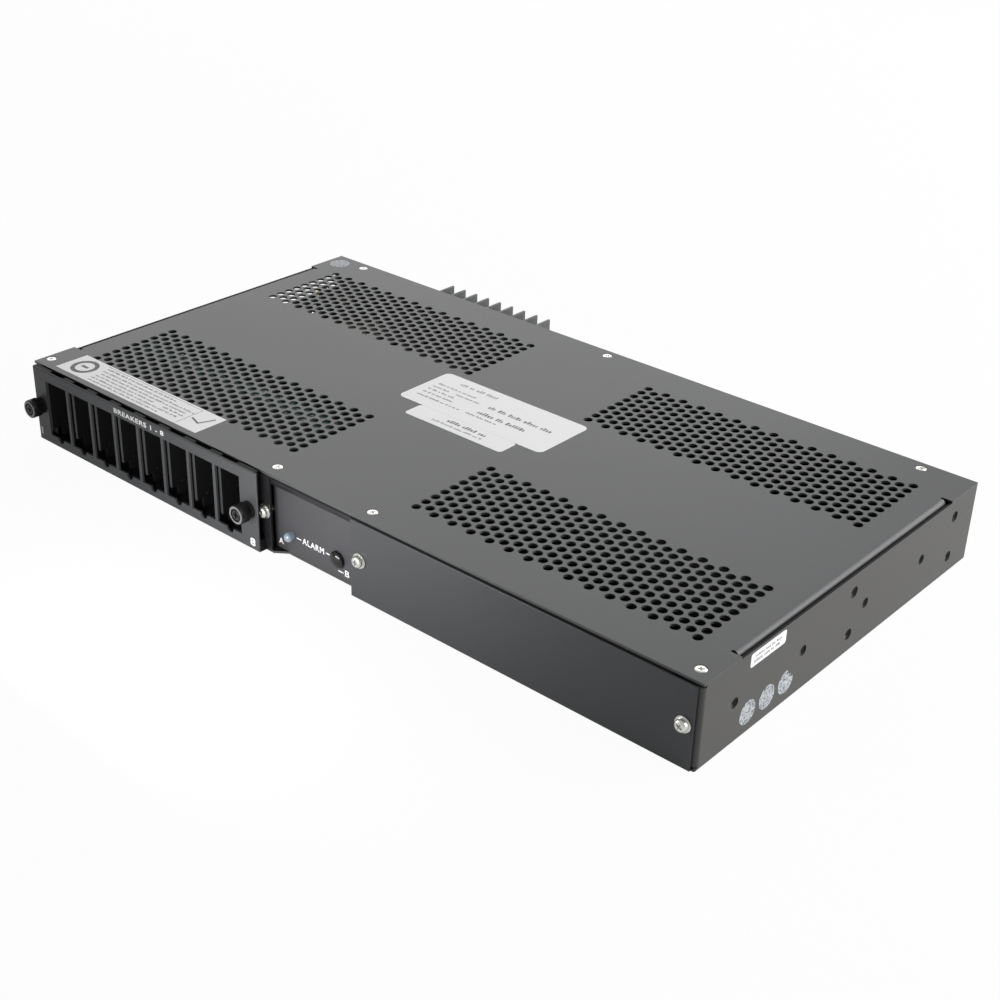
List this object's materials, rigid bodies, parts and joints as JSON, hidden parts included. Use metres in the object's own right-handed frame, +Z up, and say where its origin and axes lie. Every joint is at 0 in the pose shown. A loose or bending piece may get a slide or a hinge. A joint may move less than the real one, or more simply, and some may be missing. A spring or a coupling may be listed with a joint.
{
  "type": "dc power distribution unit",
  "caption": "Rack-mount dc power distribution panel with plug-in breaker slots behind a bezel, an alarm recess, a blank panel and a rear output terminal block.",
  "frame": {"origin": "middle of the chassis underside", "axes": "+X right seen from the front, +Y from the front to the rear, +Z up"},
  "size_m": [0.43, 0.2553, 0.0424],
  "materials": {
    "case": "fine satin texture",
    "cover": "fine satin texture",
    "zinc": "bright zinc plate",
    "black_oxide": "black oxide, worn at the rim",
    "black_plastic": "moulded",
    "gloss": "gloss",
    "lamp": "translucent lens",
    "brass": "satin",
    "copper": "tinned at the ends",
    "board": "solder mask",
    "ivory": "sheet"
  },
  "bodies": {
    "case": {"chassis": "case", "top_cover": "cover", "cover_screws": "zinc", "front_rail": "case", "bezel": "case", "thumbscrew_ferrules": "black_oxide", "bay_wall": "case", "slot_floor": "case", "slot_roof": "case", "contact_carrier": "black_plastic", "line_contacts": "brass", "load_contacts": "brass", "backplane_board": "board", "input_bar_a": "copper", "input_bar_b": "copper", "input_block": "black_plastic", "input_studs": "brass", "input_washers": "zinc", "input_nuts": "brass", "strap_insulator": "ivory", "insulator_posts": "ivory", "output_block": "black_plastic", "output_tabs": "copper", "output_screws": "zinc", "strap_screws": "zinc", "output_bracket": "case", "alarm_panel": "case", "alarm_lamp_a": "lamp", "alarm_plug_b": "gloss", "alarm_board": "board", "alarm_relay": "black_plastic", "alarm_connector": "black_plastic", "blank_panel": "case", "front_washers": "zinc", "front_screws": "zinc", "earth_studs": "zinc", "earth_nuts": "brass", "slot_divider_1": "case", "load_strap_1": "copper", "slot_divider_2": "case", "load_strap_2": "copper", "slot_divider_3": "case", "load_strap_3": "copper", "slot_divider_4": "case", "load_strap_4": "copper", "slot_divider_5": "case", "load_strap_5": "copper", "slot_divider_6": "case", "load_strap_6": "copper", "slot_divider_7": "case", "load_strap_7": "copper", "slot_divider_8": "case", "load_strap_8": "copper"},
    "left_thumbscrew": {"thumbscrew_left": "black_oxide"},
    "right_thumbscrew": {"thumbscrew_right": "black_oxide"}
  },
  "joints": [
    {"name": "left_thumbscrew_turn", "type": "hinge", "parent": "case", "child": "left_thumbscrew", "pos_m": [-0.2053, -0.1224, 0.0213], "axis": [0, -1, 0], "continuous": true},
    {"name": "right_thumbscrew_turn", "type": "hinge", "parent": "case", "child": "right_thumbscrew", "pos_m": [-0.0409, -0.1224, 0.0213], "axis": [0, -1, 0], "continuous": true}
  ]
}
